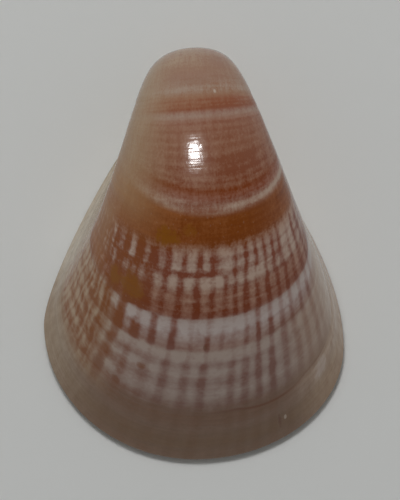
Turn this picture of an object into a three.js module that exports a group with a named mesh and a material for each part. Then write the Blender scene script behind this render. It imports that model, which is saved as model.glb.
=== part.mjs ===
// One valve of a gem clam shell, in millimetres.
// The outer side faces up, the beak points to +Y, and the rim lies flat on z = 0.
import * as THREE from 'three';
import { mergeGeometries, mergeVertices } from 'three/addons/utils/BufferGeometryUtils.js';

// The coil: every older growth line is a smaller copy of the margin, turned up about the hinge.
const COIL_RATE = 0.665;
const COIL_TIGHTENING = 0.022;
const BEAK_BREADTH = 0.08;
const BEAK_LEAN = THREE.MathUtils.degToRad(7);

// The outer face. Drops are measured down from the hinge, widths from the middle of it.
const OUTER = {
  hingeDrop: 0,
  depth: 3.03,
  lowestX: 0.01,
  front: { hinge: 0.26, leaving: [0.28, 0.1], width: 1.284, widestDrop: 1.87, shoulder: 0.37 },
  back: { hinge: 0.26, leaving: [0.28, 0.42], width: 1.282, widestDrop: 2.07, shoulder: 0.82 },
  rate: COIL_RATE,
  closesAt: 0.2,
  tipAt: 0.14,
  openRows: 20,
  beakRows: 4,
};

// The hollow inside, set in from the outer face by the rim and by the hinge plate.
const RIM = 0.16;
const HINGE_PLATE = 0.42;
const INNER = {
  hingeDrop: HINGE_PLATE,
  depth: OUTER.depth - HINGE_PLATE - RIM,
  lowestX: OUTER.lowestX,
  front: { hinge: 0.4, leaving: [0.13, 0.36], width: OUTER.front.width - RIM, widestDrop: 1.48, shoulder: 0.46 },
  back: { hinge: 0.36, leaving: [0.17, 0.38], width: OUTER.back.width - RIM, widestDrop: 1.64, shoulder: 0.66 },
  rate: 0.62,
  closesAt: 0.42,
  tipAt: 0.3,
  openRows: 10,
  beakRows: 3,
};

// Sockets in the hinge plate fan out below the beak. The plate left between them is the teeth.
const SOCKET_DEPTH = 0.1;
const SOCKET_START = 0.14;
const SOCKETS = [
  { angle: -44, half: 7, end: 0.4 },
  { angle: -13, half: 6, end: 0.34 },
  { angle: 16, half: 6, end: 0.34 },
  { angle: 47, half: 7, end: 0.42 },
];

const COLUMNS = 72;
const ELLIPSE_HANDLE = 0.5523;

// Edge of a face in its own plane, from the front end of the hinge round to the back end.
function marginPath(form) {
  const { front, back, depth, lowestX } = form;
  const reachF = ELLIPSE_HANDLE * (depth - front.widestDrop);
  const reachB = ELLIPSE_HANDLE * (depth - back.widestDrop);
  const spanF = ELLIPSE_HANDLE * (lowestX + front.width);
  const spanB = ELLIPSE_HANDLE * (back.width - lowestX);
  const path = new THREE.Path();
  path.moveTo(-front.hinge, 0);
  path.bezierCurveTo(
    -front.hinge - front.leaving[0], front.leaving[1],
    -front.width, front.widestDrop - front.shoulder,
    -front.width, front.widestDrop,
  );
  path.bezierCurveTo(
    -front.width, front.widestDrop + reachF,
    lowestX - spanF, depth,
    lowestX, depth,
  );
  path.bezierCurveTo(
    lowestX + spanB, depth,
    back.width, back.widestDrop + reachB,
    back.width, back.widestDrop,
  );
  path.bezierCurveTo(
    back.width, back.widestDrop - back.shoulder,
    back.hinge + back.leaving[0], back.leaving[1],
    back.hinge, 0,
  );
  return path;
}

// Growth stages from the margin to the beak. A stage's span falls to 0 where the beak rounds off.
function growthStages(form) {
  const stages = [];
  for (let i = 0; i <= form.openRows; i += 1) {
    stages.push({ size: form.closesAt ** (i / form.openRows), span: 1 });
  }
  for (let i = 1; i <= form.beakRows; i += 1) {
    const bend = (Math.PI / 2) * (i / (form.beakRows + 1));
    const size = form.closesAt - (form.closesAt - form.tipAt) * Math.sin(bend);
    stages.push({ size, span: Math.cos(bend) });
  }
  return stages;
}

// A growth line: the edge points scaled to one stage and turned up about the hinge.
function growthLine(form, edge, stage) {
  const shrink = -Math.log(stage.size);
  const turn = shrink / form.rate + COIL_TIGHTENING * shrink ** 3;
  const lean = BEAK_LEAN * (1 - stage.size);
  const across = stage.span * (stage.size + BEAK_BREADTH) / (1 + BEAK_BREADTH);
  const drop = stage.span * stage.size;
  return edge.map((p) => {
    const point = new THREE.Vector3(across * p.x, -drop * p.y, 0);
    point.applyAxisAngle(new THREE.Vector3(1, 0, 0), -turn);
    point.applyAxisAngle(new THREE.Vector3(0, 0, 1), lean);
    point.y -= form.hingeDrop;
    return point;
  });
}

function meshOf(points, faces) {
  const geometry = new THREE.BufferGeometry();
  geometry.setFromPoints(points);
  geometry.setIndex(faces.flat());
  return geometry;
}

// A coiled face with the closed loop where it meets z = 0.
function coiledFace(form, facesOut) {
  const edge = marginPath(form).getSpacedPoints(COLUMNS);
  const lines = growthStages(form).map((stage) => growthLine(form, edge, stage));
  const tip = new THREE.Vector3(0, -form.hingeDrop, 0);
  const points = [...lines.flat(), tip];
  const tipIndex = points.length - 1;
  const width = COLUMNS + 1;
  const faces = [];
  for (let i = 0; i < lines.length; i += 1) {
    for (let j = 0; j < COLUMNS; j += 1) {
      const a = i * width + j;
      const b = a + 1;
      const c = a + width;
      const d = c + 1;
      if (i === lines.length - 1) {
        faces.push([a, b, tipIndex]);
      } else if (j < COLUMNS / 2) {
        faces.push([a, b, d], [a, d, c]);
      } else {
        faces.push([a, b, c], [b, d, c]);
      }
    }
  }
  const backHinge = lines.slice(1).map((line) => line[COLUMNS]);
  const frontHinge = lines.slice(1).map((line) => line[0]);
  const loop = [...lines[0], ...backHinge, tip, ...frontHinge.reverse()];
  const turned = facesOut ? faces : faces.map(([a, b, c]) => [a, c, b]);
  return { geometry: meshOf(points, turned), loop };
}

// Corners of a wedge-shaped socket at z = 0, with a rounded lower end.
function socketLoop({ angle, half, end }) {
  const corner = (degrees, radius) => {
    const a = THREE.MathUtils.degToRad(degrees);
    return new THREE.Vector3(radius * Math.sin(a), -radius * Math.cos(a), 0);
  };
  return [
    corner(angle - half, SOCKET_START),
    corner(angle - half, end - 0.03),
    corner(angle - half / 2, end),
    corner(angle + half / 2, end),
    corner(angle + half, end - 0.03),
    corner(angle + half, SOCKET_START),
  ];
}

// Walls and floor of one socket, sunk into the plate.
function socketFace(loop) {
  const count = loop.length;
  const sunk = loop.map((p) => p.clone().setZ(SOCKET_DEPTH));
  const faces = [];
  for (let i = 0; i < count; i += 1) {
    const next = (i + 1) % count;
    faces.push([i, i + count, next], [next, i + count, next + count]);
  }
  const floor = THREE.ShapeUtils.triangulateShape(loop.map((p) => new THREE.Vector2(p.x, p.y)), []);
  floor.forEach(([a, b, c]) => faces.push([a + count, c + count, b + count]));
  return meshOf([...loop, ...sunk], faces);
}

// Swaps the shared edge of two flat triangles wherever that makes them less thin.
function withoutThinTriangles(points, triangles) {
  const faces = triangles.map((face) => [...face]);
  const angleAt = (p, a, b) => {
    const toA = points[a].clone().sub(points[p]);
    const toB = points[b].clone().sub(points[p]);
    return toA.angleTo(toB);
  };
  const swapOne = () => {
    const owner = new Map();
    faces.forEach(([a, b, c], i) => {
      owner.set(`${a} ${b}`, { i, a, b, far: c });
      owner.set(`${b} ${c}`, { i, a: b, b: c, far: a });
      owner.set(`${c} ${a}`, { i, a: c, b: a, far: b });
    });
    for (const { i, a, b, far } of owner.values()) {
      const other = owner.get(`${b} ${a}`);
      if (other && angleAt(far, a, b) + angleAt(other.far, a, b) > Math.PI + 1e-6) {
        faces[i] = [a, other.far, far];
        faces[other.i] = [other.far, b, far];
        return true;
      }
    }
    return false;
  };
  let swapped = true;
  while (swapped) {
    swapped = swapOne();
  }
  return faces;
}

// The flat rim and hinge plate: everything at z = 0 between the outer loop and the openings.
function flatRim(outerLoop, openings) {
  const flat = (loop) => loop.map((p) => new THREE.Vector2(p.x, p.y));
  const triangles = THREE.ShapeUtils.triangulateShape(flat(outerLoop), openings.map(flat));
  const points = [outerLoop, ...openings].flat();
  const downward = triangles.map(([a, b, c]) => {
    const ab = points[b].clone().sub(points[a]);
    const ac = points[c].clone().sub(points[a]);
    return ab.cross(ac).z < 0 ? [a, b, c] : [a, c, b];
  });
  return meshOf(points, withoutThinTriangles(points, downward));
}

function buildValve() {
  const outer = coiledFace(OUTER, true);
  const inner = coiledFace(INNER, false);
  const sockets = SOCKETS.map(socketLoop);
  const rim = flatRim(outer.loop, [inner.loop, ...sockets]);
  const pieces = [outer.geometry, inner.geometry, rim, ...sockets.map(socketFace)];
  const geometry = mergeVertices(mergeGeometries(pieces), 1e-5);
  geometry.computeBoundingBox();
  const box = geometry.boundingBox;
  const middle = box.getCenter(new THREE.Vector3());
  geometry.translate(-middle.x, -middle.y, -box.min.z);
  geometry.computeVertexNormals();
  return geometry;
}

const shell = new THREE.MeshStandardMaterial({ color: 0xa08270, roughness: 0.3, metalness: 0 });
shell.name = 'shell';

const valve = new THREE.Mesh(buildValve(), shell);
valve.name = 'valve';

const part = new THREE.Group();
part.name = 'gem_clam_valve';
part.add(valve);

export default part;
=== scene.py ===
# A gem clam's left valve resting on its rim on a pale floor, in metres, in the part's own frame.
import math
from types import SimpleNamespace

import bpy
import numpy as np
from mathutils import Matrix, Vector
from mathutils.geometry import delaunay_2d_cdt


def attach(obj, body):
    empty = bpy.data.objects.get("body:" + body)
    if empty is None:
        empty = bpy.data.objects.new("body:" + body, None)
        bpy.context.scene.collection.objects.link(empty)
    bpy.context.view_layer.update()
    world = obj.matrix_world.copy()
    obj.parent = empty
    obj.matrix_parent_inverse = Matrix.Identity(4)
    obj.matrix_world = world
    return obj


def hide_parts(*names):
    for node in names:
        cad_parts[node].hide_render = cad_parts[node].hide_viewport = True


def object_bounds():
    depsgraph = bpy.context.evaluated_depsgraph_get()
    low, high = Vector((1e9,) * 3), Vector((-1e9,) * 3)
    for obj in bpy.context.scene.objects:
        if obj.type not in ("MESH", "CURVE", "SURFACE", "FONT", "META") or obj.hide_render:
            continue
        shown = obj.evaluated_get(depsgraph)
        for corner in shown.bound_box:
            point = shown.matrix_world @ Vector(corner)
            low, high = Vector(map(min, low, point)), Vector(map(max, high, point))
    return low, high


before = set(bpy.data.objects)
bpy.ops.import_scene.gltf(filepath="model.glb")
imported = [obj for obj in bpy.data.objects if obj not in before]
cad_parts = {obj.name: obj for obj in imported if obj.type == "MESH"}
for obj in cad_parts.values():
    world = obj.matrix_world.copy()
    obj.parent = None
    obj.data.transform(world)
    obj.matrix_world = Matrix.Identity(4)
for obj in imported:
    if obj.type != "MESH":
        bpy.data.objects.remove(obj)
solid_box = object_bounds()

MM = 0.001
HINGE = (0.0017, 1.2695)  # middle of the hinge in the part's frame, in millimetres

# The two coiled faces, in millimetres from the middle of the hinge, as in the solid.
# Each end: hinge half length, how the edge leaves it, half width, drop to it, shoulder.
OUTER = dict(
    drop=0.0, depth=3.03, lowest=0.01, rate=0.665, closes=0.2, tip=0.14,
    front=(0.26, (0.28, 0.10), 1.284, 1.87, 0.37),
    back=(0.26, (0.28, 0.42), 1.282, 2.07, 0.82),
)
INNER = dict(
    drop=0.42, depth=2.45, lowest=0.01, rate=0.62, closes=0.42, tip=0.3,
    front=(0.40, (0.13, 0.36), 1.124, 1.48, 0.46),
    back=(0.36, (0.17, 0.38), 1.122, 1.64, 0.66),
)
TIGHTENING = 0.022
BEAK_BREADTH = 0.08
BEAK_LEAN = math.radians(7)
ROUND = 0.5523

COLUMNS = 260
OUTER_ROWS, BEAK_ROWS = 220, 14
INNER_ROWS, POCKET_ROWS = 42, 8
LIP = 0.07             # height of the rounded outer edge
# Rows across the rim: share of the way in from the outer edge, height as a share of the lip.
RIM = (
    (0.012, 0.72), (0.045, 0.4), (0.1, 0.14), (0.17, 0.02),
    (0.3, 0.0), (0.55, 0.0), (0.78, 0.0), (0.93, 0.0),
)
CRENULATIONS = 52      # fine notches along the inside of the lower edge
SOCKET_DEPTH, FURROW_DEPTH = 0.075, 0.025
PLATE_STEP = 0.0078    # distance between the points of the hinge plate
PLATE_SPAN = 0.72      # width over which the hinge plate takes its colour
# Sockets below the beak: angle and half angle in degrees, lower end in millimetres.
SOCKETS = ((-44, 8, 0.40), (-13, 7, 0.345), (16, 7, 0.345), (47, 8, 0.42))
SOCKET_TOP = 0.13
SCARS = (0.2, 0.8)     # places of the two muscle scars along the edge
SCAR_GROWTH = 0.78
SCAR_HALF = (0.1, 0.055)  # half sizes of a scar, along the growth and along the edge
SCAR_HEIGHT, MANTLE_HEIGHT = 0.014, 0.008
MANTLE = 0.84          # growth of the line where the mantle ends
COARSE_RIPPLE, FINE_RIPPLE, REST_GROOVE = 0.0016, 0.0012, 0.0020
GROWTH_RESTS = (0.342, 0.381, 0.525, 0.706, 0.765, 0.888)

# The picture: its height and its middle from the hinge, in millimetres, and the lens.
PICTURE_HEIGHT = 4.268
PICTURE_MIDDLE = (0.0521, -1.2378)
PICTURE_LEVEL = 0.3    # height above the floor at which the picture has that height
FOCAL, SENSOR = 900, 36
FLOOR_HALF, FLOOR_DROP = 0.3, 2e-6


def smoothstep(low, high, x):
    """0 below low, 1 above high, and a smooth rise between them."""
    u = np.clip((np.asarray(x) - low) / (high - low), 0.0, 1.0)
    return u * u * (3 - 2 * u)


def bezier(a, b, c, d, count=400):
    u = np.linspace(0, 1, count)[:, None]
    a, b, c, d = (np.array(p, float) for p in (a, b, c, d))
    return (1 - u) ** 3 * a + 3 * (1 - u) ** 2 * u * b + 3 * (1 - u) * u * u * c + u ** 3 * d


def margin(face, around):
    """Edge points at these shares of its length, from the front end of the hinge to the back."""
    depth, low = face["depth"], face["lowest"]
    f_hinge, f_leave, f_wide, f_drop, f_shoulder = face["front"]
    b_hinge, b_leave, b_wide, b_drop, b_shoulder = face["back"]
    f_reach, b_reach = ROUND * (depth - f_drop), ROUND * (depth - b_drop)
    f_span, b_span = ROUND * (low + f_wide), ROUND * (b_wide - low)
    arcs = (
        bezier((-f_hinge, 0), (-f_hinge - f_leave[0], f_leave[1]),
               (-f_wide, f_drop - f_shoulder), (-f_wide, f_drop)),
        bezier((-f_wide, f_drop), (-f_wide, f_drop + f_reach), (low - f_span, depth), (low, depth)),
        bezier((low, depth), (low + b_span, depth), (b_wide, b_drop + b_reach), (b_wide, b_drop)),
        bezier((b_wide, b_drop), (b_wide, b_drop - b_shoulder),
               (b_hinge + b_leave[0], b_leave[1]), (b_hinge, 0)),
    )
    path = np.concatenate([arcs[0]] + [arc[1:] for arc in arcs[1:]])
    walked = np.concatenate([[0], np.cumsum(np.linalg.norm(np.diff(path, axis=0), axis=1))])
    want = np.asarray(around) * walked[-1]
    return np.stack([np.interp(want, walked, path[:, k]) for k in (0, 1)], axis=1)


def growth_stages(face, open_rows, close_rows):
    """Sizes of the growth lines from the margin inwards, and the span left as the coil shuts."""
    sizes = np.linspace(1, face["closes"], open_rows + 1)
    bend = np.arange(1, close_rows + 1) / (close_rows + 1) * math.pi / 2
    shut = face["closes"] - (face["closes"] - face["tip"]) * np.sin(bend)
    return np.concatenate([sizes, shut]), np.concatenate([np.ones_like(sizes), np.cos(bend)])


def coil(face, sizes, spans, edge):
    """Growth lines as copies of the edge, shrunk and turned up about the hinge: rows x columns x 3."""
    size, span = sizes[:, None], spans[:, None]
    shrink = -np.log(size)
    turn = shrink / face["rate"] + TIGHTENING * shrink ** 3
    across = span * (size + BEAK_BREADTH) / (1 + BEAK_BREADTH) * edge[None, :, 0]
    drop = span * size * edge[None, :, 1]
    down, up = -drop * np.cos(turn), drop * np.sin(turn)
    lean = BEAK_LEAN * (1 - size)
    x = across * np.cos(lean) - down * np.sin(lean)
    y = across * np.sin(lean) + down * np.cos(lean) - face["drop"]
    return np.stack([x, y, up], axis=-1)


def outward(grid):
    """Unit normals of a grid of points, away from the hollow."""
    normal = np.cross(np.gradient(grid, axis=0), np.gradient(grid, axis=1))
    length = np.linalg.norm(normal, axis=-1, keepdims=True)
    normal = normal / np.maximum(length, 1e-9)
    return normal if normal[len(grid) // 3, grid.shape[1] // 2, 2] > 0 else -normal


def ripples(sizes, count, seed):
    """A smooth uneven line along the growth, between about -1 and 1."""
    chance = np.random.default_rng(seed)
    knots = np.linspace(0.1, 1.02, count)
    fine = np.linspace(0.1, 1.02, 4000)
    line = np.interp(fine, knots, chance.uniform(-1, 1, count))
    width = 4000 // count
    line = np.convolve(line, np.hanning(width + 2)[1:-1] / np.hanning(width + 2).sum(), mode="same")
    return np.interp(sizes, fine, line)


def bump_at(x, centre, width):
    return np.exp(-((np.asarray(x) - centre) / width) ** 2)


def clear_of_hinge(around):
    """0 at both ends of the hinge and 1 along the rest of the edge."""
    return smoothstep(0.0, 0.07, around) * smoothstep(0.0, 0.07, 1 - around)


def notches(around):
    """Fine notches along the lower edge, between 0 and 1."""
    notch = 0.5 - 0.5 * np.cos(2 * math.pi * CRENULATIONS * around)
    return notch * smoothstep(0.14, 0.24, around) * smoothstep(0.86, 0.76, around)


def outer_face(around):
    """The domed face with its growth relief, beak first and margin last."""
    sizes, spans = growth_stages(OUTER, OUTER_ROWS, BEAK_ROWS)
    grid = coil(OUTER, sizes, spans, margin(OUTER, around))
    ends = clear_of_hinge(around)
    relief = COARSE_RIPPLE * ripples(sizes, 34, 3) + FINE_RIPPLE * ripples(sizes, 90, 8)
    for rest in GROWTH_RESTS:
        relief -= REST_GROOVE * bump_at(sizes, rest, 0.0055)
    relief *= smoothstep(0.2, 0.3, sizes) * smoothstep(1.0, 0.97, sizes)
    grid = grid + outward(grid) * relief[:, None, None] * ends[None, :, None]
    grid[..., 2] += LIP * np.exp(-(1 - sizes) / 0.06)[:, None] * ends[None, :]
    return grid[::-1], sizes[::-1]


def inner_face(around):
    """The hollow with its muscle scars and the line of the mantle, margin first."""
    sizes, spans = growth_stages(INNER, INNER_ROWS, POCKET_ROWS)
    grid = coil(INNER, sizes, spans, margin(INNER, around))
    ends = clear_of_hinge(around)
    size, place = sizes[:, None], around[None, :]
    lower = smoothstep(0.2, 0.3, place) * smoothstep(0.8, 0.7, place)
    relief = MANTLE_HEIGHT * bump_at(size, MANTLE, 0.02) * lower
    for scar in SCARS:
        spot = ((size - SCAR_GROWTH) / SCAR_HALF[0]) ** 2 + ((place - scar) / SCAR_HALF[1]) ** 2
        relief = relief + SCAR_HEIGHT * smoothstep(1.15, 0.75, spot)
    grid = grid + outward(grid) * (relief * ends[None, :])[..., None]
    lift = 0.006 * ends + 0.016 * notches(around)
    grid[..., 2] += np.exp(-(1 - sizes) / 0.03)[:, None] * lift[None, :]
    return grid, sizes


def rim_rows(outer_edge, inner_edge, around):
    """The flat rim between the two faces, with its outer corner rounded and its inner edge notched."""
    ends = clear_of_hinge(around)
    rows = []
    for share, height in RIM:
        row = outer_edge * (1 - share) + inner_edge * share
        cut = 0.012 * smoothstep(0.5, 0.95, share) * notches(around)
        row[:, 2] = LIP * height * ends + cut
        rows.append(row)
    return np.array(rows)


def socket_depth(x, y):
    """How far the hinge plate is sunk at a point: wedges fanning out below the beak."""
    angle = math.degrees(math.atan2(x, -y))
    reach = math.hypot(x, y)
    sunk = 0.0
    for centre, half, end in SOCKETS:
        side = smoothstep(half, 0.45 * half, abs(angle - centre))
        top = smoothstep(SOCKET_TOP - 0.02, SOCKET_TOP + 0.03, reach)
        sunk = max(sunk, float(side * top * smoothstep(end, end - 0.05, reach)))
    # The furrow of the ligament, behind the beak.
    furrow = bump_at(y + 0.078 - 0.1 * max(x, 0), 0, 0.014)
    furrow = furrow * smoothstep(0.07, 0.11, x) * smoothstep(0.24, 0.19, x)
    return SOCKET_DEPTH * sunk + FURROW_DEPTH * float(furrow)


def hinge_plate(border):
    """Triangles that fill the border at the hinge, with the teeth and sockets as relief."""
    flat = [Vector((float(p[0]), float(p[1]))) for p in border]
    step = PLATE_STEP
    low, high = border[:, :2].min(axis=0), border[:, :2].max(axis=0)
    middle = [
        Vector((float(x), float(y)))
        for i, y in enumerate(np.arange(low[1] + step, high[1], step * 0.87))
        for x in np.arange(low[0] + step * (0.5 if i % 2 else 1.0), high[0], step)
    ]
    inside = [p for p in middle if clear_of(p, border, 0.6 * step)]
    ring = list(range(len(flat)))
    points, _, faces, came, _, _ = delaunay_2d_cdt(flat + inside, [], [ring], 1, 1e-9)
    return points, faces, came


def clear_of(point, border, gap):
    """Whether a point is inside the border and at least gap from its corners."""
    x, y = point
    if np.min(np.hypot(border[:, 0] - x, border[:, 1] - y)) < gap:
        return False
    after = np.roll(border, -1, axis=0)
    crosses = (border[:, 1] > y) != (after[:, 1] > y)
    rise = np.where(crosses, after[:, 1] - border[:, 1], 1.0)
    at = border[:, 0] + (y - border[:, 1]) / rise * (after[:, 0] - border[:, 0])
    return bool(np.count_nonzero(crosses & (at > x)) % 2)


def make_valve():
    around = np.linspace(0, 1, COLUMNS + 1)
    outer, outer_sizes = outer_face(around)
    inner, inner_sizes = inner_face(around)
    rim = rim_rows(outer[-1], inner[0], around)
    grid = np.concatenate([outer, rim, inner])
    rows, width = grid.shape[:2]
    growth = np.concatenate([outer_sizes, np.ones(len(rim)), inner_sizes])
    crossing = smoothstep(0.0, 0.5, [share for share, height in RIM])
    side = np.concatenate([np.zeros(len(outer)), crossing, np.ones(len(inner))])

    points = [tuple(p) for p in grid.reshape(-1, 3)]
    sizes = list(np.repeat(growth, width))
    places = list(np.tile(around, rows))
    sides = list(np.repeat(side, width))
    beak, pocket = len(points), len(points) + 1
    points += [(0.0, 0.0, 0.0), (0.0, -INNER["drop"], 0.0)]
    sizes += [OUTER["tip"], INNER["tip"]]
    places += [0.5, 0.5]
    sides += [0.0, 1.0]

    faces = []
    for j in range(COLUMNS):
        faces.append((beak, j, j + 1))
        for i in range(rows - 1):
            a = i * width + j
            faces.append((a, a + width, a + width + 1, a + 1))
        a = (rows - 1) * width + j
        faces.append((a, pocket, a + 1))

    front = [i * width for i in range(rows)]
    back = [i * width + COLUMNS for i in range(rows)]
    ring = [beak] + front + [pocket] + back[::-1]
    border = np.array([points[k] for k in ring])
    plate, plate_faces, came = hinge_plate(border)
    number = []
    for place, origins in zip(plate, came):
        own = [k for k in origins if k < len(ring)]
        if own:
            number.append(ring[own[0]])
            continue
        number.append(len(points))
        points.append((place.x, place.y, socket_depth(place.x, place.y)))
        sizes.append(1.0)
        places.append(min(max(0.5 + place.x / PLATE_SPAN, 0.0), 1.0))
        sides.append(1.0)
    for corners in plate_faces:
        a, b, c = (number[k] for k in corners)
        if len({a, b, c}) == 3:
            faces.append((a, c, b))

    # In the part's frame, and drawn in by about a thousandth, to stay in the solid's box.
    placed = (np.array(points) + (*HINGE, 0.0)) * MM
    placed *= np.minimum(np.abs(solid_box).max(axis=0) / np.abs(placed).max(axis=0), 1.0) * 0.99999
    mesh = bpy.data.meshes.new("valve_shell")
    mesh.from_pydata(placed.tolist(), [], faces)
    for name, values in (("growth", sizes), ("around", places), ("inside", sides)):
        layer = mesh.attributes.new(name, "FLOAT", "POINT")
        layer.data.foreach_set("value", np.array(values, np.float32))
    mesh.polygons.foreach_set("use_smooth", [True] * len(mesh.polygons))
    crisp = np.zeros(len(points), int)
    crisp[(len(outer) + len(rim)) * width:(len(outer) + len(rim) + 1) * width] = 1
    crisp[ring] = 1
    ends = np.array([edge.vertices[:] for edge in mesh.edges])
    mesh.attributes.new("sharp_edge", "BOOLEAN", "EDGE").data.foreach_set("value", crisp[ends].all(axis=1))
    mesh.update()
    valve = bpy.data.objects.new("valve_shell", mesh)
    bpy.context.scene.collection.objects.link(valve)
    return valve


class Tone:
    """A value, colour or vector in a material, for use in Python sums."""

    def __init__(self, recipe, socket):
        self.recipe, self.socket = recipe, socket

    def math(self, operation, *others, swap=False):
        terms = [self, *others]
        if swap:
            terms.reverse()
        return self.recipe.add("ShaderNodeMath", {"operation": operation}, dict(enumerate(terms)))

    def __add__(self, other):
        return self.math("ADD", other)

    __radd__ = __add__

    def __sub__(self, other):
        return self.math("SUBTRACT", other)

    def __rsub__(self, other):
        return self.math("SUBTRACT", other, swap=True)

    def __mul__(self, other):
        return self.math("MULTIPLY", other)

    __rmul__ = __mul__

    def __truediv__(self, other):
        return self.math("DIVIDE", other)

    def __rtruediv__(self, other):
        return self.math("DIVIDE", other, swap=True)

    def __pow__(self, other):
        return self.math("POWER", other)

    def clipped(self):
        """The value, kept between 0 and 1."""
        return self.math("MAXIMUM", 0.0).math("MINIMUM", 1.0)

    def rise(self, low, high):
        """0 below low, 1 above high (or the other way round), smooth between."""
        return self.recipe.add(
            "ShaderNodeMapRange", {"interpolation_type": "SMOOTHSTEP"},
            {"Value": self, "From Min": low, "From Max": high, "To Min": 0.0, "To Max": 1.0},
        )

    def between(self, low, high, soft):
        """1 from low to high and 0 outside, with soft ends."""
        return self.rise(low - soft, low + soft) * self.rise(high + soft, high - soft)


class Recipe:
    """A material or a room's light being written: adds nodes and hands back their outputs."""

    def __init__(self, owner):
        owner.use_nodes = True
        self.tree = owner.node_tree
        self.tree.nodes.clear()

    def add(self, kind, settings=None, sockets=None, out=0):
        """A node of this kind with its settings, then its socket values or links."""
        node = self.tree.nodes.new(kind)
        for key, value in (settings or {}).items():
            if key == "stops":
                ramp = node.color_ramp
                for extra in range(len(value) - 2):
                    ramp.elements.new(0.5)
                for stop, (place, colour) in zip(ramp.elements, sorted(value)):
                    stop.position = place
                    stop.color = (*colour, 1.0)
            elif key == "points":
                line = node.mapping.curves[0]
                for extra in range(len(value) - 2):
                    line.points.new(0.5, 0.5)
                for point, place in zip(line.points, sorted(value)):
                    point.location = place
                    point.handle_type = "VECTOR"
                node.mapping.update()
            else:
                setattr(node, key, value)
        for key, value in (sockets or {}).items():
            if isinstance(value, Tone):
                self.tree.links.new(value.socket, node.inputs[key])
            else:
                node.inputs[key].default_value = value
        return Tone(self, node.outputs[out]) if node.outputs else None

    def attribute(self, name):
        return self.add("ShaderNodeAttribute", {"attribute_name": name}, out="Fac")

    def mix(self, share, a, b):
        a, b = ((*c, 1.0) if isinstance(c, tuple) else c for c in (a, b))
        return self.add("ShaderNodeMix", {"data_type": "RGBA"}, {0: share, 6: a, 7: b}, out=2)

    def along(self, x, y, z=0.0):
        return self.add("ShaderNodeCombineXYZ", None, {0: x, 1: y, 2: z})

    def mottle(self, where, detail=2.0, rough=0.5):
        """Soft noise between about -0.5 and 0.5, one blotch to a unit of where."""
        cloud = self.add(
            "ShaderNodeTexNoise", None,
            {"Vector": where, "Scale": 1.0, "Detail": detail, "Roughness": rough}, out=0,
        )
        return cloud - 0.5

    def ramp(self, where, stops):
        return self.add("ShaderNodeValToRGB", {"stops": stops}, {0: where})

    def curve(self, where, points):
        return self.add("ShaderNodeFloatCurve", {"points": points}, {"Value": where})


def floor_material():
    material = bpy.data.materials.new("pale_floor")
    paint = Recipe(material)
    shader = paint.add("ShaderNodeBsdfPrincipled", None, {
        "Base Color": (0.79, 0.80, 0.785, 1), "Roughness": 0.9,
        "Subsurface Weight": 1.0, "Subsurface Radius": (1.0, 1.0, 1.0), "Subsurface Scale": 0.06 * MM,
    })
    paint.add("ShaderNodeOutputMaterial", None, {"Surface": shader})
    return material


# Colour of the shell between its rays, by growth from beak to margin.
PALE = (
    (0.200, (0.42, 0.29, 0.180)), (0.260, (0.40, 0.27, 0.175)), (0.285, (0.36, 0.215, 0.135)),
    (0.312, (0.355, 0.235, 0.165)), (0.332, (0.40, 0.29, 0.220)), (0.343, (0.35, 0.19, 0.110)),
    (0.368, (0.32, 0.14, 0.075)), (0.3735, (0.38, 0.255, 0.190)), (0.380, (0.40, 0.28, 0.215)),
    (0.386, (0.36, 0.20, 0.140)), (0.398, (0.34, 0.175, 0.110)), (0.490, (0.335, 0.17, 0.105)),
    (0.498, (0.29, 0.105, 0.050)), (0.510, (0.33, 0.16, 0.110)), (0.519, (0.41, 0.27, 0.200)),
    (0.526, (0.47, 0.345, 0.265)), (0.531, (0.38, 0.235, 0.160)), (0.538, (0.285, 0.090, 0.020)),
    (0.578, (0.29, 0.095, 0.025)), (0.592, (0.42, 0.27, 0.195)), (0.615, (0.47, 0.345, 0.275)),
    (0.650, (0.47, 0.34, 0.265)), (0.666, (0.41, 0.245, 0.170)), (0.702, (0.37, 0.19, 0.130)),
    (0.708, (0.455, 0.368, 0.328)), (0.730, (0.515, 0.435, 0.402)), (0.745, (0.445, 0.338, 0.295)),
    (0.758, (0.41, 0.285, 0.230)), (0.768, (0.43, 0.335, 0.280)), (0.780, (0.42, 0.325, 0.275)),
    (0.848, (0.42, 0.325, 0.275)), (0.870, (0.34, 0.240, 0.190)),
)
# Colour of the rays and dark bands, by growth.
DARK = (
    (0.200, (0.34, 0.18, 0.110)), (0.300, (0.30, 0.150, 0.090)), (0.338, (0.32, 0.165, 0.095)),
    (0.352, (0.275, 0.085, 0.035)), (0.366, (0.25, 0.07, 0.025)), (0.374, (0.29, 0.13, 0.090)),
    (0.381, (0.34, 0.20, 0.140)), (0.390, (0.265, 0.10, 0.055)), (0.430, (0.245, 0.085, 0.040)),
    (0.480, (0.22, 0.062, 0.025)), (0.497, (0.20, 0.038, 0.002)), (0.506, (0.20, 0.038, 0.004)),
    (0.516, (0.235, 0.07, 0.035)), (0.525, (0.29, 0.13, 0.080)), (0.531, (0.25, 0.09, 0.045)),
    (0.540, (0.205, 0.047, 0.0)), (0.588, (0.20, 0.044, 0.0)), (0.600, (0.21, 0.053, 0.023)),
    (0.650, (0.215, 0.060, 0.030)), (0.690, (0.185, 0.034, 0.004)), (0.704, (0.20, 0.045, 0.015)),
    (0.715, (0.245, 0.085, 0.055)), (0.750, (0.20, 0.065, 0.038)), (0.770, (0.235, 0.105, 0.078)),
    (0.870, (0.215, 0.100, 0.072)), (0.890, (0.20, 0.09, 0.055)),
)
# The plain lower band, by growth.
HEM = (
    (0.870, (0.235, 0.118, 0.080)), (0.885, (0.205, 0.095, 0.058)), (0.905, (0.20, 0.094, 0.052)),
    (0.924, (0.21, 0.103, 0.060)), (0.945, (0.185, 0.083, 0.028)), (0.965, (0.175, 0.077, 0.018)),
    (0.985, (0.195, 0.093, 0.040)), (1.000, (0.22, 0.110, 0.055)),
)
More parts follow.
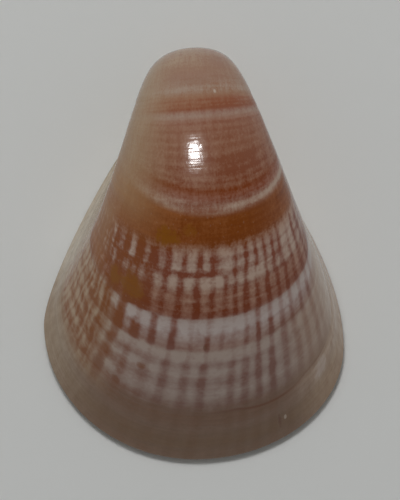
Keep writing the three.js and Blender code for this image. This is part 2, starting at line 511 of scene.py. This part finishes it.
# The tan of the upper front, by growth.
TAN = (
    (0.300, (0.40, 0.30, 0.190)), (0.460, (0.38, 0.265, 0.158)), (0.520, (0.365, 0.21, 0.098)),
    (0.600, (0.35, 0.183, 0.075)), (0.660, (0.305, 0.125, 0.035)),
)
# The rays of each growth zone: how much pigment lies between them, then each ray's place along
# the edge and half width in hundredths of its length, and its pigment.
RAY_SPAN = (26.0, 72.0)
BARS = 2 * math.pi / 0.0118  # narrow bars of the front, this far apart along the edge
# Rays slant by this share of the edge over a whole growth. Their places hold at this growth.
RAY_SLANT, RAY_TRUE_AT = 0.05, 0.73
# Growth as the tables below count it: this factor times the mesh's own, less this much.
TABLE_GROWTH = (1.01, 0.0035)
BLOCKS = (0.95, (
    (30.5, 1.2, 0.55), (32.8, 0.8, 0.6), (34.8, 0.6, 0.45), (37.3, 0.65, 0.05), (40.0, 0.55, 0.35),
    (42.7, 0.65, 0.45), (45.2, 0.85, 0.05), (47.7, 0.85, 0.05), (50.1, 0.65, 0.1), (53.2, 1.5, 0.0),
    (55.7, 0.6, 0.15), (57.5, 0.55, 0.2), (59.2, 0.55, 0.2), (60.8, 0.5, 0.3), (62.4, 0.5, 0.3),
    (64.3, 0.9, 0.0), (65.1, 0.18, 0.35), (66.0, 0.7, 0.05), (67.9, 0.65, 0.2), (70.4, 0.7, 0.25),
))
BRAID = (0.9, (
    (34.8, 1.0, 0.8), (37.2, 0.7, 0.45), (39.7, 0.7, 0.65), (42.5, 0.7, 0.7), (45.0, 0.6, 0.6),
    (47.6, 0.7, 0.65), (50.1, 0.6, 0.7), (53.2, 1.3, 0.3), (55.6, 0.6, 0.25), (57.4, 0.55, 0.3),
    (59.2, 0.55, 0.2), (60.8, 0.55, 0.3), (62.4, 0.5, 0.4), (64.3, 0.9, 0.0), (66.1, 0.7, 0.05),
    (68.0, 0.7, 0.35), (70.4, 0.7, 0.35),
))
CHECKS = (0.92, (
    (31.5, 0.8, 0.55), (33.9, 0.5, 0.5), (36.4, 0.7, 0.45), (38.0, 0.4, 0.55), (39.5, 0.6, 0.45),
    (42.5, 0.75, 0.35), (44.9, 0.75, 0.05),
    (47.4, 0.8, 0.08), (50.0, 0.95, 0.0), (51.1, 0.3, 0.3), (52.1, 0.75, 0.0), (54.0, 0.5, 0.4),
    (55.5, 0.6, 0.12), (57.3, 0.75, 0.0), (58.3, 0.3, 0.2), (59.1, 0.7, 0.0), (60.7, 0.5, 0.3),
    (62.3, 0.5, 0.4), (64.3, 0.75, 0.1), (66.2, 0.65, 0.15), (68.2, 0.7, 0.35), (70.4, 0.7, 0.4),
))
DENSE = (0.36, (
    (32.8, 1.3, 0.75), (35.2, 1.3, 1.0), (38.3, 1.2, 1.0), (40.9, 1.05, 1.0), (43.4, 0.55, 0.7),
    (46.0, 0.6, 0.85), (48.7, 0.55, 1.0), (51.0, 0.5, 0.9), (53.0, 0.45, 0.75), (54.6, 0.4, 0.9),
    (56.3, 0.55, 1.0), (58.2, 0.45, 0.95), (60.0, 0.45, 1.0), (61.8, 0.4, 0.8), (63.5, 0.4, 0.9),
    (65.4, 0.45, 0.85), (67.4, 0.6, 0.75), (69.5, 0.4, 0.85), (71.4, 0.9, 0.8),
))
WHITE = (0.09, (
    (28.8, 0.5, 0.35), (30.3, 0.55, 0.55), (31.8, 0.5, 0.75), (33.0, 0.45, 0.65), (34.6, 0.95, 0.95),
    (37.7, 0.8, 1.0), (40.5, 0.5, 0.55), (43.0, 0.55, 0.85), (45.8, 0.5, 0.8), (48.3, 0.4, 0.35),
    (50.8, 0.4, 0.4), (53.0, 0.35, 0.25), (54.4, 0.3, 0.25), (56.1, 0.35, 0.45), (58.0, 0.45, 0.7),
    (59.9, 0.4, 0.6), (61.8, 0.45, 0.55), (63.6, 0.4, 0.6), (65.6, 0.45, 0.6), (67.6, 0.5, 0.65),
    (69.4, 0.45, 0.5),
))
DASHES = (0.26, (
    (29.0, 0.5, 0.5), (30.6, 0.85, 0.75), (32.3, 0.95, 0.9), (34.7, 1.05, 1.0), (36.2, 0.7, 0.6),
    (37.7, 0.9, 1.0), (39.1, 0.6, 0.35), (40.4, 0.8, 1.0), (43.0, 0.6, 0.95), (44.3, 0.5, 0.3),
    (45.8, 0.55, 1.0), (48.4, 0.35, 0.5), (50.7, 0.42, 0.85), (52.7, 0.35, 0.6), (54.3, 0.3, 0.4),
    (56.1, 0.42, 0.8), (57.9, 0.4, 1.0), (59.9, 0.45, 1.0), (61.8, 0.45, 0.8), (63.5, 0.35, 0.8),
    (65.5, 0.38, 0.85), (67.5, 0.5, 0.9), (69.3, 0.4, 0.65),
))
FAINT = (0.14, (
    (30.3, 0.4, 0.55), (31.7, 0.45, 0.7), (32.8, 0.4, 0.6), (34.5, 0.9, 0.9), (37.5, 0.7, 0.85),
    (40.2, 0.4, 0.3), (43.0, 0.4, 0.4), (45.6, 0.4, 0.55), (48.3, 0.3, 0.4), (50.6, 0.32, 0.5),
    (52.6, 0.3, 0.2), (54.3, 0.3, 0.35), (55.9, 0.35, 0.45), (57.8, 0.32, 0.75), (59.8, 0.35, 0.7),
    (61.8, 0.6, 0.8), (63.6, 0.55, 0.75), (65.6, 0.5, 0.75), (67.6, 0.55, 0.85), (69.4, 0.45, 0.6),
))
LILAC = (0.24, (
    (29.0, 0.4, 0.5), (30.2, 0.4, 0.65), (31.6, 0.5, 0.8), (32.7, 0.4, 0.75), (34.6, 0.9, 1.0),
    (37.2, 0.65, 0.75), (40.1, 0.55, 0.55), (43.0, 0.65, 0.55), (45.5, 0.62, 0.75), (48.2, 0.62, 0.72),
    (50.5, 0.62, 0.85), (52.6, 0.5, 0.4), (54.2, 0.55, 0.75), (56.0, 0.55, 0.8), (57.8, 0.5, 0.9),
    (59.7, 0.52, 1.0), (61.8, 0.55, 0.75), (63.9, 0.55, 0.85), (65.7, 0.5, 0.85), (67.8, 0.55, 0.95),
    (69.5, 0.45, 0.7),
))
# Where each zone gives way to the next: growth, softness, raggedness from ray to ray.
ZONES = (
    (BRAID, 0.6245, 0.003, 0.006), (CHECKS, 0.6345, 0.003, 0.006), (DENSE, 0.659, 0.006, 0.014),
    (WHITE, 0.7050, 0.0025, 0.005), (DASHES, 0.731, 0.005, 0.050), (FAINT, 0.764, 0.003, 0.005),
    (LILAC, 0.786, 0.006, 0.010),
)
# Rows that cross the rays: growth, half height, and how much darker or paler the shell is there.
ROW_SPAN = (0.56, 1.0)
ROWS = (
    (0.601, 0.004, -0.12), (0.6105, 0.003, 0.20), (0.620, 0.005, -0.10), (0.630, 0.004, 0.12),
    (0.645, 0.007, -0.16), (0.657, 0.003, 0.10), (0.672, 0.004, -0.12), (0.682, 0.003, 0.10),
    (0.697, 0.007, 0.20), (0.720, 0.010, -0.10), (0.757, 0.006, 0.18), (0.773, 0.008, -0.20),
    (0.790, 0.006, 0.16), (0.806, 0.008, -0.20), (0.827, 0.009, 0.17), (0.850, 0.011, -0.20),
    (0.876, 0.008, 0.16), (0.905, 0.010, -0.06), (0.926, 0.008, -0.10), (0.950, 0.012, 0.10),
)
# Fine growth lines of the upper half, in the same way.
FINE_SPAN = (0.22, 0.60)
FINE_ROWS = (
    (0.262, 0.006, -0.12), (0.283, 0.005, 0.10), (0.305, 0.006, 0.12), (0.327, 0.005, -0.16),
    (0.340, 0.002, 0.12), (0.3445, 0.002, -0.12), (0.350, 0.002, 0.22), (0.3545, 0.0018, -0.18),
    (0.3585, 0.0018, 0.24), (0.3622, 0.0016, -0.18), (0.3668, 0.0025, 0.34), (0.3775, 0.003, -0.10),
    (0.3845, 0.0018, 0.30), (0.388, 0.0018, -0.16), (0.392, 0.0022, 0.24), (0.399, 0.003, -0.14),
    (0.405, 0.0022, 0.16), (0.411, 0.0025, -0.18), (0.4185, 0.003, 0.14), (0.425, 0.002, -0.22),
    (0.431, 0.003, 0.12), (0.4395, 0.0022, -0.24), (0.450, 0.004, 0.22), (0.461, 0.002, -0.18),
    (0.470, 0.004, 0.18), (0.479, 0.002, -0.18), (0.485, 0.002, 0.12), (0.4905, 0.002, -0.14),
    (0.498, 0.003, 0.30), (0.506, 0.002, -0.12), (0.511, 0.0018, 0.16), (0.536, 0.002, 0.16),
    (0.545, 0.0018, -0.10), (0.552, 0.002, 0.14), (0.560, 0.002, -0.14), (0.569, 0.003, 0.14),
    (0.577, 0.002, -0.10),
)
# Small marks: growth, place, their half sizes, strength, then colour.
GOLD, BARK, CHALK_AND_GLINT = (0.235, 0.076, 0.0), (0.15, 0.05, 0.02), (0.55, 0.45, 0.37)
RUST, PEARL, BLUSH = (0.20, 0.06, 0.012), (0.56, 0.46, 0.40), (0.29, 0.13, 0.08)
MARKS = (
    (0.573, 0.438, 0.015, 0.023, 0.9, GOLD), (0.677, 0.353, 0.019, 0.012, 1.0, GOLD),
    (0.675, 0.386, 0.024, 0.020, 0.9, GOLD), (0.560, 0.480, 0.010, 0.012, 0.6, GOLD),
    (0.811, 0.421, 0.007, 0.006, 0.7, RUST), (0.867, 0.391, 0.009, 0.006, 0.7, RUST),
    (0.860, 0.363, 0.018, 0.009, 0.6, RUST),
    # The pale speck at growth 0.336, place 0.557 is a painted glint, a small highlight painted into the
    # colour; the pale speck by the crack at growth 0.955 is a fleck.
    (0.336, 0.557, 0.0035, 0.0035, 0.7, CHALK_AND_GLINT), (0.755, 0.5035, 0.006, 0.0025, 0.6, BARK),
    (0.956, 0.5935, 0.017, 0.0020, 0.8, BARK), (0.955, 0.6005, 0.005, 0.0014, 0.6, CHALK_AND_GLINT),
    (0.915, 0.660, 0.020, 0.011, 0.5, PEARL), (0.302, 0.510, 0.020, 0.085, 0.36, BLUSH),
    (0.268, 0.600, 0.018, 0.045, 0.36, BLUSH),
)


def ray_line(zone):
    """The pigment across one zone's rays, as the points of a curve."""
    base, rays = zone
    across = np.linspace(0, 1, 231)
    place = RAY_SPAN[0] + across * (RAY_SPAN[1] - RAY_SPAN[0])
    dose = np.full_like(place, base)
    for centre, half, strength in rays:
        dose += (strength - dose) * np.exp(-np.abs((place - centre) / half) ** 4)
    return [(float(x), float(y)) for x, y in zip(across, dose)]


def row_line(rows, span):
    """The darker and paler rows along the growth, around a half, as the points of a curve."""
    along = np.linspace(0, 1, 250)
    growth = span[0] + along * (span[1] - span[0])
    shade = np.full_like(growth, 0.5)
    for centre, half, strength in rows:
        shade += strength * np.exp(-np.abs((growth - centre) / half) ** 2)
    return [(float(x), float(y)) for x, y in zip(along, shade)]


def share_of(value, span):
    return (value - span[0]) / (span[1] - span[0])


def grains(paint, growth, around):
    """The noises that break up the pattern, and each point's place across the rays."""
    wave = paint.mottle(paint.along(around * 20, growth * 20, 7.0), 1.0)
    ray = around + RAY_SLANT * (growth - RAY_TRUE_AT) + wave * 0.004
    return SimpleNamespace(
        wave=wave,
        ray=ray,
        cloud=paint.mottle(paint.along(around * 9, growth * 11, 3.0), 3.0),
        ragged=paint.mottle(paint.along(ray * 62, growth * 3), 1.0),
        lines=paint.mottle(paint.along(around * 8, growth * 130), 3.0, 0.6),
        threads=paint.mottle(paint.along(ray * 80, growth * 14), 2.0),
        breaks=paint.mottle(paint.along(ray * 60, growth * 48, 2.0), 2.0, 0.6),
        weave=paint.mottle(paint.along(ray * 170, growth * 170, 5.0), 1.0),
        specks=paint.mottle(paint.along(around * 210, growth * 170, 11.0), 2.0, 0.7),
        streaks=paint.mottle(paint.along(ray * 95, growth * 24, 4.0), 2.0, 0.6),
        patches=paint.mottle(paint.along(ray * 46, growth * 26, 6.0), 2.0, 0.6) + 0.5,
    )


def lower_pigment(paint, growth, around, grain):
    """Pigment of the lower half: its rays, zone by zone, crossed by rows."""
    across = share_of(grain.ray * 100, RAY_SPAN)
    dose = paint.curve(across, ray_line(BLOCKS))
    for zone, edge, soft, uneven in ZONES:
        step = (growth + grain.ragged * uneven).rise(edge - soft, edge + soft)
        dose = dose + (paint.curve(across, ray_line(zone)) - dose) * step
    bars = ((grain.ray + grain.ragged * 0.016 + grain.wave * 0.014) * BARS).math("SINE")
    front = 0.46 + around.rise(0.27, 0.33) * 0.17 + bars * grain.patches * 0.6
    front = front + grain.breaks * 1.1 + grain.streaks * 1.4
    dose = dose + (front - dose) * around.rise(0.375, 0.325) * 0.8
    height = share_of(growth + grain.wave * 0.006, ROW_SPAN)
    rows = paint.curve(height, row_line(ROWS, ROW_SPAN)) - 0.5
    calm = 1 - growth.rise(0.755, 0.775) * around.rise(0.52, 0.60) * 0.7
    dose = dose + rows * calm * (0.4 + grain.patches * 1.3) + grain.breaks * 0.9
    fine = growth.rise(0.72, 0.69) * 0.4 + 0.4
    rough = grain.threads * 0.5 + grain.lines * 1.1 + grain.weave * 0.7 + grain.specks * 0.9
    return dose + rough * fine + growth.between(0.60, 0.68, 0.01) * 0.10


def upper_pigment(paint, growth, around, band, grain):
    """Pigment of the upper half: fine growth lines, and a pale line that clears to the back."""
    height = share_of(band + grain.wave * 0.004, FINE_SPAN)
    hairs = paint.curve(height, row_line(FINE_ROWS, FINE_SPAN)) - 0.5
    dose = 0.38 + around.rise(0.42, 0.60) * 0.30 - around.rise(0.615, 0.675) * 0.22
    dose = dose + hairs * (0.2 + grain.patches * 1.2)
    dose = dose + grain.lines * 0.9 + grain.threads * 1.1 + grain.breaks * 0.6
    dose = dose + grain.weave * 0.35 + grain.specks * 1.5
    dose = dose + grain.cloud * (0.6 + growth.rise(0.34, 0.30) * 1.2)
    dark_back = growth.between(0.449, 0.486, 0.006) * around.between(0.53, 0.63, 0.02)
    dose = dose + dark_back * grain.patches * 0.7
    dose = dose + growth.between(0.346, 0.370, 0.005) * around.rise(0.49, 0.57) * 0.25
    dose = dose + growth.between(0.541, 0.584, 0.006) * around.rise(0.40, 0.46) * 0.26
    dose = dose - growth.between(0.560, 0.595, 0.012) * around.rise(0.61, 0.66) * 0.30
    veil = around.between(0.44, 0.545, 0.02) * 0.48 - around.rise(0.51, 0.58) * 0.6
    return dose + band.between(0.520, 0.530, 0.004) * veil


def band_tints(paint, growth, around, grain, dose, colour):
    """Ember lines in the orange band, the plain hem, and the rust, ochre and tan of the front."""
    ember = (grain.lines * 1.8 + grain.threads + grain.specks * 0.8).clipped()
    ember = growth.between(0.54, 0.588, 0.006) * ember
    colour = paint.mix(ember * 0.6, colour, (0.14, 0.026, 0.0))
    hem_grain = (grain.streaks + grain.specks * 0.9 + grain.lines * 0.9 + 0.42).clipped()
    hem_tone = paint.ramp(growth + grain.lines * 0.012 + grain.cloud * 0.02, HEM)
    hem_tone = paint.mix(0.2, hem_tone, (0.32, 0.205, 0.12))
    hem_tone = paint.mix(hem_grain * 0.5, hem_tone, (0.115, 0.055, 0.012))
    hem = (growth + grain.ragged * 0.02 + grain.cloud * 0.012).rise(0.866, 0.890)
    colour = paint.mix(hem * 0.85, colour, hem_tone)
    warm = around.rise(0.60, 0.66) * growth.between(0.76, 0.885, 0.015) * 0.3
    colour = paint.mix(warm, colour, (0.45, 0.305, 0.20))
    rust = around.rise(0.45, 0.37) * growth.between(0.53, 0.89, 0.03) * dose
    colour = paint.mix(rust * 0.85, colour, (0.225, 0.058, 0.004))
    ochre = around.rise(0.40, 0.33) * growth.between(0.70, 0.91, 0.02)
    ochre_tone = paint.mix(dose, (0.42, 0.285, 0.17), (0.24, 0.075, 0.010))
    colour = paint.mix(ochre * 0.8, colour, ochre_tone)
    mottled = (0.5 + grain.streaks * 1.2 + grain.specks * 0.8 + grain.lines * 0.6).clipped()
    tan = around.rise(0.47, 0.32) * growth.rise(0.60, 0.52)
    tan = tan + around.rise(0.345, 0.30) * growth.between(0.57, 0.695, 0.02) * 0.75
    tan_tone = paint.mix(mottled * 0.45, paint.ramp(growth, TAN), (0.27, 0.10, 0.03))
    return paint.mix((tan * (0.95 + grain.cloud * 0.5)).clipped(), colour, tan_tone)


def brown_lines(paint, growth, around, grain, colour):
    """Two thin brown growth lines near the lower back, and pale specks over the middle."""
    dip = (1 - ((around - 0.590) / 0.045) ** 2.0).math("MAXIMUM", 0.0) * 0.010
    line = (growth - dip + grain.wave * 0.004).between(0.8875, 0.8920, 0.003)
    line = line * around.rise(0.50, 0.55) * around.rise(0.70, 0.66) * 0.9
    second = (growth + grain.wave * 0.006).between(0.7570, 0.7600, 0.003)
    second = second * around.between(0.59, 0.66, 0.015) * 0.5
    colour = paint.mix(line.math("MAXIMUM", second), colour, (0.17, 0.06, 0.025))
    # Sparse pale specks over the middle growth, lightening the colour a little.
    pale_specks = paint.mottle(paint.along(around * 230, growth * 180, 13.0), 0.0).rise(0.22, 0.34)
    return paint.mix(pale_specks * growth.between(0.36, 0.72, 0.03) * 0.12, colour, (0.52, 0.41, 0.33))


def small_marks(paint, growth, around, grain, colour):
    """Spots and flecks with uneven edges, and one painted glint: a small highlight painted into the
    colour.
    """
    uneven = grain.weave * 1.6 + grain.breaks * 2.6 + grain.streaks * 1.6
    for size, place, high, wide, strength, tone in MARKS:
        off = ((growth - size) / high) ** 2.0 + ((around - place) / wide) ** 2.0
        colour = paint.mix((off + uneven).rise(1.6, 0.1) * strength, colour, tone)
    return colour


def flanks(paint, growth, around, grain, colour):
    """The ends of the hem, the small marks, and the flanks fading to streaked grey cream."""
    grey = (grain.lines * 1.5 + grain.streaks * 1.8 + grain.specks * 0.5 + 0.45).clipped()
    soft = around + grain.cloud * 0.03
    low = growth.rise(0.87, 0.92) * soft.rise(0.40, 0.28) * 0.9
    colour = paint.mix(low, colour, paint.mix(grey, (0.42, 0.325, 0.23), (0.29, 0.20, 0.125)))
    light_hem = growth.between(0.895, 0.935, 0.02)
    light_hem = paint.mix(light_hem, (0.43, 0.30, 0.195), (0.52, 0.39, 0.295))
    low = growth.rise(0.87, 0.91) * 0.9 + growth.between(0.775, 0.875, 0.015) * 0.12
    hem_tone = paint.mix(grey * 0.8, light_hem, (0.30, 0.17, 0.095))
    colour = paint.mix(low * soft.rise(0.595, 0.66), colour, hem_tone)
    colour = small_marks(paint, growth, around, grain, colour)
    edge = soft + grain.threads * 0.03
    front_tone = paint.mix(growth.rise(0.80, 0.92), (0.45, 0.355, 0.25), (0.60, 0.53, 0.43))
    front_tone = paint.mix(grey * 0.55, front_tone, (0.34, 0.25, 0.16))
    front = edge - growth.rise(0.55, 0.30) * 0.06 - growth.between(0.72, 0.99, 0.03) * 0.018
    near, far = front.rise(0.238, 0.180), front.rise(0.19, 0.09)
    front = near * (0.72 + growth.rise(0.80, 0.90) * 0.2) + far * 0.22
    colour = paint.mix(front.math("MINIMUM", 0.95), colour, front_tone)
    back_tone = growth.between(0.54, 0.69, 0.03)
    back_tone = paint.mix(back_tone, (0.56, 0.44, 0.345), (0.44, 0.26, 0.155))
    back_tone = paint.mix(grey * 0.8, back_tone, (0.33, 0.20, 0.125))
    back = edge - growth.rise(0.745, 0.70) * 0.065
    back = back.rise(0.668, 0.735) * 0.75 + back.rise(0.73, 0.86) * 0.2
    return paint.mix(back, colour, back_tone)


def outside_colour(paint, growth, around):
    """Bands, rays and dashes of the domed face."""
    growth = growth * TABLE_GROWTH[0] - TABLE_GROWTH[1]
    grain = grains(paint, growth, around)
    # The bands of the middle bow, and lie lowest a little behind the middle.
    sag = (around - 0.56) ** 2.0 * 0.8 - 0.005
    band = growth + sag * growth.between(0.44, 0.56, 0.03) + grain.lines * 0.002
    upper = upper_pigment(paint, growth, around, band, grain)
    lower = lower_pigment(paint, growth, around, grain)
    start = growth + grain.ragged * 0.026 + grain.breaks * 0.012 + around.rise(0.45, 0.38) * 0.008
    dose = (upper + (lower - upper) * start.rise(0.583, 0.602)).clipped()
    colour = paint.mix(dose, paint.ramp(band, PALE), paint.ramp(band, DARK))
    colour = band_tints(paint, growth, around, grain, dose, colour)
    colour = brown_lines(paint, growth, around, grain, colour)
    return flanks(paint, growth, around, grain, colour)


def inside_colour(paint, growth, around):
    """The hollow: cream, with a violet brown stain, paler muscle scars and the line of the mantle."""
    cloud = paint.mottle(paint.along(around * 7, growth * 8, 9.0), 3.0)
    lines = paint.mottle(paint.along(around * 6, growth * 90, 9.0), 2.0)
    colour = paint.ramp(growth + cloud * 0.12 + lines * 0.02, (
        (0.30, (0.56, 0.44, 0.36)), (0.55, (0.50, 0.34, 0.28)), (0.72, (0.38, 0.22, 0.19)),
        (0.82, (0.40, 0.25, 0.21)), (0.87, (0.50, 0.37, 0.30)), (0.99, (0.52, 0.40, 0.31)),
        (1.0, (0.50, 0.38, 0.28)),
    ))
    mantle = (growth + cloud * 0.01).between(0.836, 0.846, 0.006) * around.between(0.22, 0.78, 0.03)
    colour = paint.mix(mantle * 0.35, colour, (0.62, 0.50, 0.42))
    for place in SCARS:
        off = ((growth - SCAR_GROWTH) / SCAR_HALF[0]) ** 2.0 + ((around - place) / SCAR_HALF[1]) ** 2.0
        colour = paint.mix((off + cloud * 0.3).rise(1.1, 0.8) * 0.45, colour, (0.58, 0.45, 0.38))
    return colour


def shell_material():
    material = bpy.data.materials.new("shell")
    paint = Recipe(material)
    growth, around, inside = (paint.attribute(name) for name in ("growth", "around", "inside"))
    outer_tone = outside_colour(paint, growth, around)
    colour = paint.mix(inside, outer_tone, inside_colour(paint, growth, around))
    grain = paint.mottle(paint.along(around * 110, growth * 80), 1.0)
    ridges = paint.mottle(paint.along(around * 9, growth * 120), 1.0)
    bump = paint.add(
        "ShaderNodeBump", None,
        {"Strength": 1.0, "Distance": 1.9e-6, "Height": grain * 0.45 + ridges * 1.2},
    )
    shader = paint.add("ShaderNodeBsdfPrincipled", None, {
        "Base Color": colour, "Roughness": 0.13 + grain * 0.06, "Specular IOR Level": 0.5, "Normal": bump,
        "Coat Weight": 0.1, "Coat Roughness": 0.32,
    })
    paint.add("ShaderNodeOutputMaterial", None, {"Surface": shader})
    return material


def make_floor():
    mesh = bpy.data.meshes.new("floor")
    sides = ((-1, -1), (1, -1), (1, 1), (-1, 1))
    corners = [(x * FLOOR_HALF, y * FLOOR_HALF, -FLOOR_DROP) for x, y in sides]
    mesh.from_pydata(corners, [], [(0, 1, 2, 3)])
    floor = bpy.data.objects.new("floor", mesh)
    floor.data.materials.append(floor_material())
    bpy.context.scene.collection.objects.link(floor)
    return floor


def aim(thing, at):
    thing.rotation_euler = (Vector(at) - thing.location).to_track_quat("-Z", "Y").to_euler()


def make_light(name, place, at, size, power):
    lamp = bpy.data.lights.new(name, "AREA")
    lamp.shape = "RECTANGLE"
    lamp.size, lamp.size_y = size[0] * MM, size[1] * MM
    lamp.energy = power
    light = bpy.data.objects.new(name, lamp)
    light.location = Vector(place) * MM
    aim(light, Vector(at) * MM)
    bpy.context.scene.collection.objects.link(light)


def make_studio():
    world = bpy.data.worlds.new("soft_room")
    bpy.context.scene.world = world
    room = Recipe(world)
    towards = room.add("ShaderNodeTexCoord", None, None, "Generated")
    height = room.add("ShaderNodeSeparateXYZ", None, {0: towards}, 2)
    light, dim = (0.34, 0.34, 0.34), (0.12, 0.12, 0.12)
    glow = room.ramp(height, ((0.0, light), (0.25, light), (0.8, dim), (1.0, dim)))
    air = room.add("ShaderNodeBackground", None, {"Color": glow, "Strength": 1.0})
    room.add("ShaderNodeOutputWorld", None, {"Surface": air})
    make_light("window", (-5.4, 29.8, 51.8), (0, 0.3, 1.2), (9.5, 10), 0.0160)


def make_camera():
    lens = bpy.data.cameras.new("camera")
    lens.lens, lens.sensor_width = FOCAL, SENSOR
    lens.clip_start, lens.clip_end = 0.001, 10
    camera = bpy.data.objects.new("camera", lens)
    away = PICTURE_HEIGHT * FOCAL / SENSOR
    x, y = HINGE[0] + PICTURE_MIDDLE[0], HINGE[1] + PICTURE_MIDDLE[1]
    camera.location = (x * MM, y * MM, (away + PICTURE_LEVEL) * MM)
    bpy.context.scene.collection.objects.link(camera)
    bpy.context.scene.camera = camera


make_camera()
make_studio()
floor = make_floor()

valve = make_valve()
valve.data.materials.append(shell_material())
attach(valve, "root")
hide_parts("valve")

bpy.context.scene.view_settings.view_transform = "Standard"
